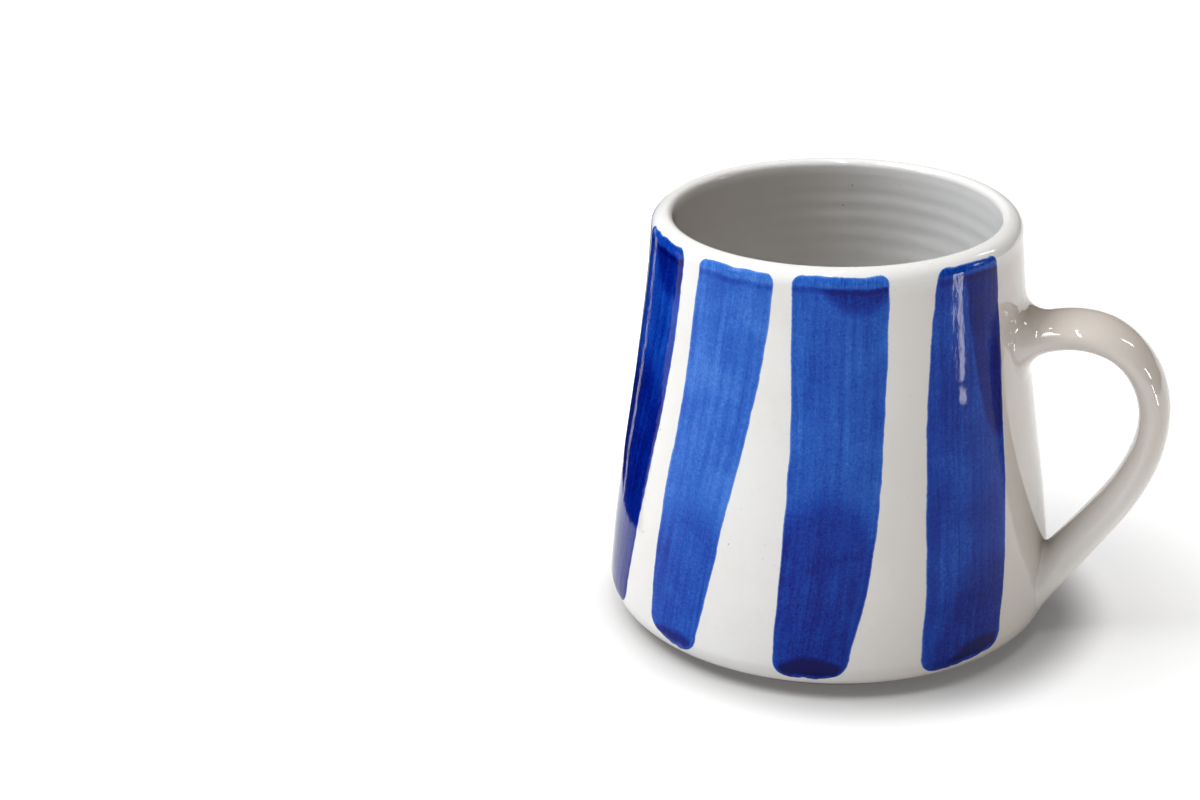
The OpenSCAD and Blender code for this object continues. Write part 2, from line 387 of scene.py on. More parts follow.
def route(s):
    p, t = (UPPER, s) if s <= 1 else (LOWER, s - 1)
    u = 1 - t
    point = u**3 * p[0] + 3 * u * u * t * p[1] + 3 * u * t * t * p[2] + t**3 * p[3]
    slope = u * u * (p[1] - p[0]) + 2 * u * t * (p[2] - p[1]) + t * t * (p[3] - p[2])
    return point, slope / np.linalg.norm(slope)


def softened(s, values):
    """The stations' values, with their corners rounded off."""
    near = np.clip(s + np.linspace(-0.18, 0.18, 13), 0, 2)
    return float(np.interp(near, STATIONS, values).mean())


AROUND = 112
ANGLES = np.arange(AROUND) * TAU / AROUND
STRAP_DENTS = waves(21, 12, (1, 4), (12, 45))


def strap_ring(s):
    """One oval ring across the strap: angle 0 is its outer face, a quarter turn its +Y edge."""
    c, d = route(s)
    n = np.array([-d[1], d[0]])
    half_t, half_w = softened(s, STRAP_T) / 2, softened(s, STRAP_W) / 2
    cos, sin = np.cos(ANGLES), np.sin(ANGLES)
    uneven = 1 + 0.012 * STRAP_DENTS(ANGLES, s * 50)
    across = half_w * sin * uneven * (1 + 0.03 * cos)
    out = half_t * np.sign(cos) * np.abs(cos) ** 0.94 * uneven
    return np.stack([c[0] + out * n[0], across, c[1] + out * n[1]], 1)


def on_wall(y, z, rise=0.0):
    """Points on the cup's wall at given y and height, on the handle's side."""
    x = np.sqrt(np.maximum(wall_r(np.clip(z, 8, 90)) ** 2 - y * y, 1))
    for _ in range(3):
        theta = np.arctan2(y, x)
        s = OUT.s_at(z)
        r, zz, nr, nz = OUT.at(s)
        d = bump(OUT, theta, s, r, zz) + rise
        x = np.sqrt(np.maximum((r + d * nr) ** 2 - y * y, 1))
    return np.stack([x, y, z + d * nz], 1)


# Each root's outline on the wall: half its width, its middle's height, its reach above and below that
UPPER_ROOT = (12.3, 69.3, 9.6, 10.2)
LOWER_ROOT = (9.9, 10.4, 9.3, 7.9)
WORKED = 0.03


def upper_foot(k):
    """The upper root's outline on the wall, grown by k."""
    half_w, middle, above, below = UPPER_ROOT
    cos, sin = np.cos(ANGLES), np.sin(ANGLES)
    height = np.where(cos > 0, above, below)
    worked = 1 + WORKED * STRAP_DENTS(ANGLES, 7)
    return half_w * k * sin * worked, middle + height * k * cos * worked


def lower_foot(k):
    """The lower root's outline on the wall: pointed above, smeared down to the glaze's edge."""
    half_w, middle, above, below = LOWER_ROOT
    cos, sin = np.cos(ANGLES), np.sin(ANGLES)
    height = np.where(cos > 0, -below, -above)
    narrow = 1 - 0.22 * np.clip(-cos, 0, 1) ** 2
    worked = 1 + WORKED * STRAP_DENTS(ANGLES, 31)
    return half_w * k * sin * narrow * worked, middle + height * k * cos * worked


def bezier(p0, p1, p2, p3, t):
    u = 1 - t
    return u**3 * p0 + 3 * u * u * t * p1 + 3 * u * t * t * p2 + t**3 * p3


# How the roots go under the glaze: growth of the outline and height over the wall
DIVE = [(0.92, -0.38), (1.03, -0.34), (1.045, -0.14), (1.02, -0.05)]


def root_rings(foot, s, heading_sign, wall_reach, strap_reach, steps):
    """Rings that carry the strap into the wall, from the wall outward. The reaches say how far each
    side's own direction carries: short ones make a crease, long ones a soft fillet."""
    at_wall = on_wall(*foot(1.0))
    inward = on_wall(*foot(0.92)) - at_wall
    inward /= np.linalg.norm(inward, axis=1)[:, None]
    on_strap = strap_ring(s)
    d2 = route(s)[1] * heading_sign
    along = np.array([d2[0], 0, d2[1]])
    p1 = at_wall + inward * wall_reach[:, None]
    p2 = on_strap - along * strap_reach[:, None]
    rings = [bezier(at_wall, p1, p2, on_strap, t) for t in np.linspace(0, 1, steps + 1)[:-1]]
    dive = [on_wall(*foot(grown), rise) for grown, rise in DIVE]
    return dive + rings


# Where the strap leaves its upper root and reaches its lower one, and the rings between
UPPER_S = 0.10
LOWER_S = 1.86
STRAP_RINGS = 150


def make_handle():
    """The strap and both its roots as one skin."""
    cos = np.cos(ANGLES)
    side = np.abs(np.sin(ANGLES))
    up_wall = 2.6 + 1.6 * np.abs(cos) - 0.6 * side
    up_strap = 2.6 + 0.8 * np.abs(cos)
    tail = np.clip(cos, 0, 1)
    crotch = np.clip(-cos, 0, 1)
    low_wall = 0.7 + 3.2 * tail**1.5
    low_strap = 2.0 + 7.0 * tail - 1.2 * crotch
    top = root_rings(upper_foot, UPPER_S, 1, up_wall, up_strap, 14)
    bottom = root_rings(lower_foot, LOWER_S, -1, low_wall, low_strap, 18)
    middle = [strap_ring(s) for s in np.linspace(UPPER_S, LOWER_S, STRAP_RINGS)]
    rings = np.stack(top + middle + bottom[::-1])
    points, faces = capped(rings, rings[0].mean(0), rings[-1].mean(0))
    return mesh_object("handle_strap", points, faces)


# ---- the brush strokes -------------------------------------------------------------------------
# For each stroke, going clockwise from the handle: the angles of its left and of its right edge at
# the heights EDGE_Z, then the heights of its upper and of its lower end, each at its left and right.
# The first four strokes are measured on the photograph, and the five that it hides are made up.
EDGE_Z = [93, 80, 60, 40, 20, 10]
STROKES = [
    (
        [-46.6, -49.4, -51.5, -52.2, -53, -54.6],
        [-22.6, -21.8, -22.7, -24.3, -27.2, -30.4],
        (93.2, 92.9), (4.3, 5.4),
    ),
    (
        [-90.4, -90.2, -89, -89.7, -90.7, -91.3],
        [-62.2, -62.3, -63.6, -65.2, -69, -72.8],
        (93.3, 93.3), (4.4, 5),
    ),
    (
        [-121.8, -123.6, -124.8, -127.6, -128.8, -128.4],
        [-95.8, -97, -101, -106, -109.8, -112.4],
        (93.3, 93), (5.8, 4.6),
    ),
    (
        [-157, -159, -163, -168, -170, -171],
        [-129.2, -130.4, -132.7, -136.2, -140, -142],
        (93.2, 93.2), (4.2, 5.2),
    ),
    (
        [-192, -192, -193, -194, -194.5, -195],
        [-164.8, -166, -169, -172, -175.5, -177],
        (92.8, 93), (4.8, 5.5),
    ),
    (
        [-224, -224.5, -226, -227, -227, -226.5],
        [-198, -199, -201.5, -204, -207, -208.5],
        (92.6, 92.9), (5.6, 5),
    ),
    (
        [-259, -259.5, -261, -262, -261.5, -261],
        [-230.5, -231.5, -234, -236.5, -240, -242],
        (93, 92.7), (4.8, 4.6),
    ),
    (
        [-291.5, -292, -293, -293, -292, -291.5],
        [-266, -267, -268.5, -270, -273, -275],
        (92.8, 93), (5, 6),
    ),
    (
        [-329, -329.5, -331, -332, -331.5, -330.5],
        [-303, -303.5, -305, -306, -308.5, -310.5],
        (93, 92.8), (5.4, 5),
    ),
]
CORNER_TOP = 2.2
CORNER_END = 4.2
PAINT_EDGE = 0.02
PAINT_RISE = 0.055
PAINT_UNDER = -0.05
COLUMNS = 60
BUNCHING = 0.86
HALF_STROKE = 9.5
STROKE_LENGTH = 88


def graded(length, fine, coarse, reach):
    """Positions from 0 to length, close together near both ends."""
    start = spaced(0, reach, fine)
    middle = spaced(reach, length - reach, coarse)
    return np.array(start[:-1] + middle[:-1] + [length - x for x in reversed(start)])


def corner_inset(gap, radius):
    """How far a rounded corner pulls the edge in, at a distance from the stroke's end."""
    short = np.clip(radius - gap, 0, radius)
    return radius - np.sqrt(radius**2 - short**2)


def stroke_ends(u, tops, ends, wobble, ragged):
    """Where a stroke starts and stops along the outline, for each of its columns."""
    x = u * HALF_STROKE
    end_noise = [0.25 * wobble[2 + k](0, x) + 0.05 * ragged[2 + k](0, x) for k in (0, 1)]
    share = (u + 1) / 2
    z_top = tops[0] + (tops[1] - tops[0]) * share + 0.5 * end_noise[0]
    z_end = ends[0] + (ends[1] - ends[0]) * smooth(share, 0, 1) + end_noise[1]
    return OUT.s_at(z_top), OUT.s_at(z_end)


def stroke_edges(mid_s, s_top, s_end, sides, wobble, ragged):
    """The angles of a stroke's two edges, row by row, with rounded corners and a brush's wobble."""
    radius, z_mid = OUT.at(mid_s)[:2]
    soft = np.linspace(-5, 5, 11)
    order = EDGE_Z[::-1]
    edge = [np.mean([np.interp(z_mid + k, order, side[::-1]) for k in soft], 0) for side in sides]
    gap_top = s_top.mean() - mid_s
    gap_end = mid_s - s_end.mean()
    tuck = corner_inset(gap_top, CORNER_TOP) + corner_inset(gap_end, CORNER_END)
    calm = 1 - 0.5 * smooth(gap_top, 4, 0)
    lines = []
    for k, sign in ((0, -1), (1, 1)):
        off = (0.10 * wobble[k](0, z_mid) + 0.03 * ragged[k](0, z_mid)) * calm - sign * tuck
        lines.append(np.radians(edge[k]) + off / radius)
    return lines


def stroke_rise(index, across, s, inside, from_end, from_top):
    """How high the paint stands: thin at its edge, streaked, and thicker where it has pooled."""
    streaks = waves(300 + index, 26, (0, 0), (0.9, 4.5))
    ripple = waves(400 + index, 14, (0, 0), (4, 16))
    body = smooth(inside, -0.1, 0.9)
    grain = streaks(0, across + 0.35 * ripple(0, s)) * 0.006 + 0.004 * ripple(0, s)
    low_pool = 0.03 * np.exp(-(((from_end - 2.2) / 1.6) ** 2))
    pool = low_pool + 0.02 * np.exp(-(((from_top - 3.4) / 1.2) ** 2))
    return PAINT_EDGE + body * (PAINT_RISE - PAINT_EDGE + grain + pool)


def make_stroke(index, left, right, tops, ends):
    """One brush stroke, as a thin closed piece that lies on the glaze."""
    wobble = [waves(200 + 10 * index + k, 14, (0, 0), (3.5, 26)) for k in range(4)]
    ragged = [waves(500 + 10 * index + k, 16, (0, 0), (0.8, 2.2)) for k in range(4)]
    u = np.sin(np.linspace(-1, 1, COLUMNS + 1) * math.pi / 2 * BUNCHING)
    u = u / math.sin(math.pi / 2 * BUNCHING)
    share = (u + 1) / 2
    s_top, s_end = stroke_ends(u, tops, ends, wobble, ragged)
    down = graded(STROKE_LENGTH, 0.24, 0.6, 5) / STROKE_LENGTH
    s = s_top[None, :] + (s_end - s_top)[None, :] * down[:, None]
    mid_s = s[:, COLUMNS // 2]
    lines = stroke_edges(mid_s, s_top, s_end, (left, right), wobble, ragged)
    theta = lines[0][:, None] + (lines[1] - lines[0])[:, None] * share[None, :]
    arc_w = (lines[1] - lines[0])[:, None] * OUT.at(mid_s)[0][:, None]
    across = (share[None, :] - 0.5) * arc_w
    from_side = np.minimum(share[None, :], 1 - share[None, :]) * arc_w
    from_top = np.abs(s_top[None, :] - s)
    from_end = np.abs(s - s_end[None, :])
    inside = np.minimum(np.minimum(from_side, from_top), from_end)
    rise = stroke_rise(index, across, s, inside, from_end, from_top)
    top = np.stack(on_pot(OUT, theta, s, rise), 2)
    under = np.stack(on_pot(OUT, theta, s, PAINT_UNDER), 2)
    return stroke_mesh(index, top, under, across, from_top, from_end, inside)


def stroke_mesh(index, top, under, across, from_top, from_end, inside):
    """The stroke's two faces and the rim between them, with its material's coordinates."""
    rows, cols, _ = top.shape
    n = rows * cols
    grid = np.arange(n).reshape(rows, cols)
    a, b, c, d = grid[:-1, :-1], grid[:-1, 1:], grid[1:, 1:], grid[1:, :-1]
    front = np.stack([a, d, c, b], 2).reshape(-1, 4)
    back = np.stack([a, b, c, d], 2).reshape(-1, 4) + n
    rim = np.concatenate([grid[0, :], grid[1:, -1], grid[-1, -2::-1], grid[-2:0:-1, 0]])
    after = np.roll(rim, -1)
    wall = np.stack([rim, after, after + n, rim + n], 1)
    faces = np.concatenate([front, back, wall]).tolist()
    points = np.concatenate([top.reshape(-1, 3), under.reshape(-1, 3)])
    brush = np.stack([across, from_top, np.full_like(across, 40.0 * index)], 2).reshape(-1, 3)
    ends = np.stack([inside, from_end, from_top], 2).reshape(-1, 3)
    vectors = {"brush": np.concatenate([brush, brush]), "ends": np.concatenate([ends, ends])}
    return mesh_object(f"stroke_{index}", points, faces, vectors)


# ---- materials ---------------------------------------------------------------------------------
class Nodes:
    """Short calls for building a material's nodes."""

    def __init__(self, name):
        self.material = bpy.data.materials.new(name)
        self.material.use_nodes = True
        self.tree = self.material.node_tree
        self.shader = self.tree.nodes["Principled BSDF"]

    def join(self, value, socket):
        if isinstance(value, bpy.types.NodeSocket):
            self.tree.links.new(value, socket)
        elif value is not None:
            socket.default_value = value

    def add(self, kind, inputs=(), **settings):
        node = self.tree.nodes.new(kind)
        for key, value in settings.items():
            setattr(node, key, value)
        for key, value in dict(inputs).items():
            self.join(value, node.inputs[key])
        return node

    def math(self, operation, a, b=None, clamp=False):
        node = self.add("ShaderNodeMath", operation=operation, use_clamp=clamp)
        self.join(a, node.inputs[0])
        self.join(b, node.inputs[1])
        return node.outputs[0]

    def mix(self, share, a, b):
        node = self.add("ShaderNodeMix", data_type="RGBA")
        self.join(share, node.inputs[0])
        self.join(a, node.inputs[6])
        self.join(b, node.inputs[7])
        return node.outputs[2]

    def scaled(self, vector, scale):
        node = self.add("ShaderNodeVectorMath", operation="MULTIPLY")
        self.join(vector, node.inputs[0])
        node.inputs[1].default_value = scale
        return node.outputs[0]

    def noise(self, vector, scale, detail=3.0, rough=0.5, distortion=0.0):
        inputs = {"Vector": vector, "Scale": scale, "Detail": detail, "Roughness": rough}
        inputs["Distortion"] = distortion
        return self.add("ShaderNodeTexNoise", inputs).outputs["Fac"]

    def remap(self, value, a, b, low=0.0, high=1.0):
        node = self.add("ShaderNodeMapRange", {"Value": value}, interpolation_type="SMOOTHSTEP")
        for key, number in (("From Min", a), ("From Max", b), ("To Min", low), ("To Max", high)):
            node.inputs[key].default_value = number
        return node.outputs["Result"]

    def ramp(self, value, stops):
        node = self.add("ShaderNodeValToRGB", {"Fac": value})
        bar = node.color_ramp.elements
        while len(bar) < len(stops):
            bar.new(0.5)
        for element, (place, colour) in zip(bar, stops):
            element.position = place
            element.color = (*colour, 1)
        return node.outputs["Color"]

    def specks(self, vector, scale, radius, keep):
        """Small round dots: a share, keep, of the cells have one."""
        cells = self.add("ShaderNodeTexVoronoi", {"Vector": vector, "Scale": scale})
        dot = self.remap(cells.outputs["Distance"], radius, radius * 0.45)
        picked = self.add("ShaderNodeSeparateColor", {"Color": cells.outputs["Color"]})
        chosen = self.math("LESS_THAN", picked.outputs[0], keep)
        return self.math("MULTIPLY", self.math("MULTIPLY", dot, chosen), picked.outputs[1])

    def bump(self, height, distance, before=None, strength=1.0):
        inputs = {"Height": height, "Distance": distance, "Strength": strength, "Normal": before}
        return self.add("ShaderNodeBump", inputs).outputs["Normal"]

    def place(self):
        """Object coordinates in millimetres."""
        coords = self.add("ShaderNodeTexCoord").outputs["Object"]
        return self.scaled(coords, (1000, 1000, 1000))

    def attribute(self, name):
        return self.add("ShaderNodeAttribute", attribute_name=name).outputs["Vector"]


CLAY_TINT = (0.20, 0.135, 0.09, 1)
# Painted shade and light inside the cup: darker and warmer on the left, lighter and cooler on the right
LINER_SHADE_LEFT = (0.55, 0.515, 0.47, 1)
LINER_LIGHT_RIGHT = (0.83, 0.84, 0.855, 1)
# Painted light: a whiter lip, where it faces up
LIP_LIGHT = (0.825, 0.825, 0.82, 1)
# Painted shade: a darker, warm beige for the whole handle and for the cup's wall on the handle's side
HANDLE_SIDE_SHADE = (0.645, 0.60, 0.555)
HANDLE_SIDE_SHADE_WARM = (0.63, 0.58, 0.53)
# Painted light: a lighter lower part of the handle
HANDLE_LOW_LIGHT = (0.74, 0.715, 0.685, 1)
SMALL_SPECK = (0.22, 0.16, 0.11, 1)
BIG_SPECK = (0.16, 0.11, 0.08, 1)
GLAZE_IOR = 1.52
WHITE = (0.755, 0.752, 0.745)
WARM = (0.725, 0.712, 0.69)


def glaze_material(name, white, warm, lined=False):
    """Glossy off-white glaze: faint clouding, iron specks and a soft orange-peel surface. On the cup it
    thins to the brown of the clay at its wiped lower edge, and light and shade are painted in: painted
    shade on the handle's side, painted light on the lip, and inside, painted shade on the left and painted
    light on the right. On the handle, painted light makes the lower part lighter."""
    m = Nodes(name)
    at = m.place()
    cloud = m.noise(at, 0.05, 4, 0.55)
    fine = m.noise(at, 0.9, 5, 0.6)
    tone = m.math("ADD", m.math("MULTIPLY", cloud, 0.75), m.math("MULTIPLY", fine, 0.25))
    colour = m.mix(m.remap(tone, 0.35, 0.65), (*white, 1), (*warm, 1))
    spot = m.add("ShaderNodeSeparateXYZ", {"Vector": at}).outputs
    if lined:
        liner = m.add("ShaderNodeSeparateXYZ", {"Vector": m.attribute("liner")}).outputs[0]
        below_lip = m.remap(spot[2], 92, 88)
        # Painted shade on the handle's side of the cup, below the lip
        handle_side_shade = m.math("MULTIPLY", m.remap(spot[0], 6, 43), below_lip)
        colour = m.mix(handle_side_shade, colour, (*HANDLE_SIDE_SHADE, 1))
        # Painted light on the lip
        colour = m.mix(m.remap(spot[2], 90.8, 92.4), colour, LIP_LIGHT)
        # Inside: painted shade on the left, painted light on the right
        colour = m.mix(liner, colour, m.mix(m.remap(spot[0], -34, 30), LINER_SHADE_LEFT, LINER_LIGHT_RIGHT))
        wavy = m.math("ADD", spot[2], m.math("MULTIPLY", fine, 0.35))
        outside = m.math("SUBTRACT", 1.0, liner)
        colour = m.mix(m.math("MULTIPLY", outside, m.remap(wavy, 3.15, 2.85)), colour, CLAY_TINT)
    else:
        # Painted light on the handle's lower part
        colour = m.mix(m.remap(spot[2], 50, 26), colour, HANDLE_LOW_LIGHT)
    big = m.specks(at, 0.16, 0.05, 0.55)
    small = m.specks(at, 0.42, 0.07, 0.55)
    colour = m.mix(m.math("MULTIPLY", small, 0.50), colour, SMALL_SPECK)
    colour = m.mix(m.math("MULTIPLY", big, 0.80), colour, BIG_SPECK)
    m.join(colour, m.shader.inputs["Base Color"])
    m.join(m.remap(fine, 0.3, 0.75, 0.025, 0.06), m.shader.inputs["Roughness"])
    m.shader.inputs["IOR"].default_value = GLAZE_IOR
    peel = m.noise(at, 0.35, 3, 0.5)
    pores = m.noise(at, 1.6, 2, 0.5)
    normal = m.bump(peel, 0.00005, None, 0.5)
    m.join(m.bump(pores, 0.000004, normal, 0.5), m.shader.inputs["Normal"])
    return m.material


COBALT = [
    (0.0, (0.0, 0.001, 0.085)),
    (0.25, (0.0, 0.010, 0.205)),
    (0.5, (0.003, 0.045, 0.35)),
    (0.75, (0.017, 0.105, 0.49)),
    (1.0, (0.06, 0.20, 0.63)),
]
COBALT_SHINE = 0.13
COBALT_DOT = (0.001, 0.008, 0.09, 1)
COBALT_BLEED = (0.30, 0.42, 0.70, 1)
# For each stroke: its mean tone, then its lower, upper and end pools. The upper pools are partly painted
# dark reflections, such as the first stroke's dark right side.
POOLS_AND_REFLECTIONS = [
    (0.47, (0.16, 26, 5, 0.12), (0.30, 40, 9, 0.35), (0.40, 4.8, 4, 0.05)),
    (0.68, (0.34, 42, -1.5, 0.08), (0.36, 8, 4, 0.08), (0.48, 5.2, 0, 0.05)),
    (0.80, (0.26, 34, 2, 0.06), (0.06, 8, -5, 0.10), (0.38, 3.6, 2, 0.03)),
    (0.44, (0.26, 60, 0, 0.05), (0.20, 12, 6, 0.10), (0.34, 4.2, 0, 0.05)),
    (0.62, (0.24, 30, -3, 0.08), (0.20, 8, -4, 0.10), (0.38, 4.4, 1, 0.04)),
    (0.70, (0.20, 36, 3, 0.08), (0.24, 9, 4, 0.10), (0.40, 4.2, -1, 0.04)),
    (0.66, (0.26, 28, 0, 0.06), (0.16, 7, -5, 0.10), (0.42, 4.6, 0, 0.05)),
    (0.72, (0.18, 34, -4, 0.09), (0.22, 9, 3, 0.10), (0.36, 4.0, 2, 0.04)),
    (0.64, (0.24, 30, 2, 0.07), (0.18, 8, 5, 0.10), (0.40, 4.4, 0, 0.05)),
]


def cobalt_material(index, depth, low_pool, top_pool_and_reflection, end_pool):
    """Brushed cobalt under a clear gloss: lengthwise streaks, fine mottling, darker pools and a thin soft
    edge. A painted highlight lightens the stroke's top along the lip's roll, painted shade darkens a band
    just under it, and the upper pool is partly a painted dark reflection. A pool is how dark it is, how far
    it reaches from its end, its centre and its bend."""
    m = Nodes(f"cobalt_{index}")
    brush = m.attribute("brush")
    across = m.add("ShaderNodeSeparateXYZ", {"Vector": brush}).outputs[0]
    inside, from_end, from_top = m.add("ShaderNodeSeparateXYZ", {"Vector": m.attribute("ends")}).outputs
    streak = m.noise(m.scaled(brush, (0.7, 0.025, 1)), 1.0, 4, 0.5, 0.1)
    hair = m.noise(m.scaled(brush, (2.4, 0.13, 1)), 1.0, 3, 0.6)
    mottle = m.noise(brush, 0.10, 3, 0.5, 0.3)
    grain = m.noise(brush, 1.5, 3, 0.6, 1.2)

    def spread(value, amount):
        return m.math("MULTIPLY", m.math("SUBTRACT", value, 0.5), amount)

    def pool(distance, strength, reach, centre, bend, soft):
        off = m.math("SUBTRACT", across, centre)
        bow = m.math("MULTIPLY", m.math("MULTIPLY", off, off), bend)
        edge = m.math("ADD", m.math("SUBTRACT", spread(mottle, soft), bow), spread(streak, soft * 0.7))
        depth_in = m.math("SUBTRACT", m.math("ADD", edge, reach), distance)
        return m.remap(depth_in, -0.8 * soft, soft, 0, strength)

    tone = m.math("ADD", spread(streak, 0.50), depth)
    for value, amount in ((hair, 0.20), (mottle, 0.42), (grain, 0.62)):
        tone = m.math("ADD", tone, spread(value, amount))
    rim_pool = m.math("MULTIPLY", pool(from_end, *end_pool, 1.1), m.remap(inside, 0.7, 1.8))
    # The upper pool, partly a painted dark reflection
    under_lip = m.math("MULTIPLY", pool(from_top, *top_pool_and_reflection, 2.5), m.remap(from_top, 2.2, 3.1))
    # Painted shade: a darker band just under the lip's roll
    under_roll_shade = m.math("MULTIPLY", m.remap(from_top, 2.0, 2.9), m.remap(from_top, 4.2, 3.0, 0, 0.16))
    for dark in (pool(from_end, *low_pool, 7), rim_pool, under_lip, under_roll_shade):
        tone = m.math("SUBTRACT", tone, dark)
    # Painted highlight: a lighter band where the stroke runs over the lip's roll
    roll_highlight = m.math("ADD", m.remap(from_top, 2.9, 1.9, 0, 0.10), m.math("MULTIPLY", spread(hair, 0.5), 1.0))
    tone = m.math("ADD", tone, m.math("MULTIPLY", roll_highlight, m.remap(from_top, 2.9, 1.9)))
    tone = m.math("ADD", tone, m.remap(inside, 0.8, 0.1, 0, 0.08), clamp=True)
    colour = m.ramp(tone, COBALT)
    dots = m.specks(brush, 0.75, 0.11, 0.4)
    colour = m.mix(m.math("MULTIPLY", dots, 0.55), colour, COBALT_DOT)
    bleed = m.remap(m.math("ADD", inside, spread(grain, 0.35)), 0.30, 0.02, 0, 0.5)
    colour = m.mix(bleed, colour, COBALT_BLEED)
    m.join(colour, m.shader.inputs["Base Color"])
    m.join(m.remap(grain, 0.3, 0.7, 0.05, 0.09), m.shader.inputs["Roughness"])
    m.shader.inputs["IOR"].default_value = 1.5
    m.shader.inputs["Specular IOR Level"].default_value = COBALT_SHINE
    lumps = m.noise(m.scaled(brush, (0.8, 0.35, 1)), 1.0, 3, 0.5)
    normal = m.bump(lumps, 0.00006, None, 0.6)
    m.join(m.bump(grain, 0.000006, normal, 0.5), m.shader.inputs["Normal"])
    return m.material


CLAY_DARK = (0.30, 0.195, 0.12, 1)
CLAY_PALE = (0.42, 0.30, 0.20, 1)
CLAY_GRIT = (0.20, 0.125, 0.08, 1)
IRON = (0.07, 0.045, 0.035, 1)


def clay_material():
    """Bare fired stoneware: warm brown, gritty and matt, with darker iron grains."""
    m = Nodes("bare_clay")
    at = m.place()
    cloud = m.noise(at, 0.12, 5, 0.6)
    grit = m.noise(at, 2.2, 4, 0.7)
    colour = m.mix(m.remap(cloud, 0.3, 0.7), CLAY_DARK, CLAY_PALE)
    colour = m.mix(m.remap(grit, 0.45, 0.75, 0, 0.45), colour, CLAY_GRIT)
    grains = m.specks(at, 0.9, 0.2, 0.5)
    colour = m.mix(m.math("MULTIPLY", grains, 0.8), colour, IRON)
    m.join(colour, m.shader.inputs["Base Color"])
    m.join(m.remap(grit, 0.2, 0.8, 0.72, 0.93), m.shader.inputs["Roughness"])
    m.join(m.bump(grit, 0.0001, None, 0.7), m.shader.inputs["Normal"])
    return m.material


# ---- stage, light and camera -------------------------------------------------------------------
def flat_piece(name, corners, material):
    mesh = bpy.data.meshes.new(name)
    mesh.from_pydata(corners, [], [(0, 1, 2, 3)])
    mesh.materials.append(material)
    obj = bpy.data.objects.new(name, mesh)
    bpy.context.scene.collection.objects.link(obj)
    return obj


FLOOR_HALF = 4.0
FLOOR_WHITE = 0.36
FLOOR_GLOW = 0.64
NEAR_GLOW = 0.12
FAR_GLOW = 0.34
SHADE_CENTRE = (5.5, -2.0, 0.0)


def make_floor():
    """A white table top that glows a little, as painted light, so that it stays white; the glow drops close
    under the mug, which paints its soft shadow there.
    """
    m = Nodes("floor_white")
    at = m.place()
    paper = m.noise(at, 0.02, 3, 0.5)
    white = (FLOOR_WHITE, FLOOR_WHITE, FLOOR_WHITE, 1)
    m.join(m.mix(paper, white, (0.98 * FLOOR_WHITE,) * 3 + (1,)), m.shader.inputs["Base Color"])
    m.shader.inputs["Roughness"].default_value = 0.9
    m.shader.inputs["Specular IOR Level"].default_value = 0.0
    from_centre = m.add("ShaderNodeVectorMath", operation="SUBTRACT")
    m.join(at, from_centre.inputs[0])
    from_centre.inputs[1].default_value = SHADE_CENTRE
    far = m.add("ShaderNodeVectorMath", operation="LENGTH")
    m.join(from_centre.outputs[0], far.inputs[0])
    away = far.outputs["Value"]
    # Less glow close under the mug, around SHADE_CENTRE: a painted shadow
    glow = m.math("ADD", m.remap(away, 47, 63, NEAR_GLOW, FLOOR_GLOW), m.remap(away, 62, 150, 0, FAR_GLOW))
    m.shader.inputs["Emission Color"].default_value = (1, 1, 1, 1)
    m.join(glow, m.shader.inputs["Emission Strength"])
    h = FLOOR_HALF
    flat_piece("floor", [(-h, -h, 0), (h, -h, 0), (h, h, 0), (-h, h, 0)], m.material)


def make_card(name, place, width, height, turn, colour):
    """An upright flag that only reflections show; turn is its azimuth, as seen from the mug."""
    m = Nodes(name)
    m.shader.inputs["Base Color"].default_value = (*colour, 1)
    m.shader.inputs["Roughness"].default_value = 1.0
    m.shader.inputs["Specular IOR Level"].default_value = 0.0
    a = math.radians(turn)
    side = Vector((-math.sin(a), math.cos(a), 0)) * (width / 2)
    low = Vector(place)
    high = low + Vector((0, 0, height))
    card = flat_piece(name, [low - side, low + side, high + side, high - side], m.material)
    card.visible_camera = False
    card.visible_diffuse = False
    card.visible_shadow = False
    return card


def turn_to(obj, target):
    aim = Vector(target) - obj.location
    obj.rotation_euler = aim.to_track_quat("-Z", "Y").to_euler()


def soft_light(name, place, size, power, colour, target=(0, 0, 0.05)):
    data = bpy.data.lights.new(name, "AREA")
    data.shape = "RECTANGLE"
    data.size, data.size_y = size
    data.energy = power
    data.color = colour
    light = bpy.data.objects.new(name, data)
    bpy.context.scene.collection.objects.link(light)
    light.location = place
    turn_to(light, target)
    light.visible_camera = False
    return light


def glint(name, azimuth, elevation, distance, size, glow, about):
    """A small bright panel that only glossy reflections show, out at a direction from a point."""
    a, e = math.radians(azimuth), math.radians(elevation)
    way = Vector((math.cos(a) * math.cos(e), math.sin(a) * math.cos(e), math.sin(e)))
    place = Vector(about) + distance * way
    power = glow * math.pi * size[0] * size[1]
    light = soft_light(name, place, size, power, (1, 1, 1), about)
    light.visible_diffuse = False
    return light


WORLD_LIT = (0.93, 0.96, 1.0)
WORLD_DIM = (0.23, 0.17, 0.11)
WORLD_GLOW = 0.37
DIM_TOWARD = (0.87, 0.45, 0.20)
DIM_FROM = -0.45
DIM_BY = 0.42


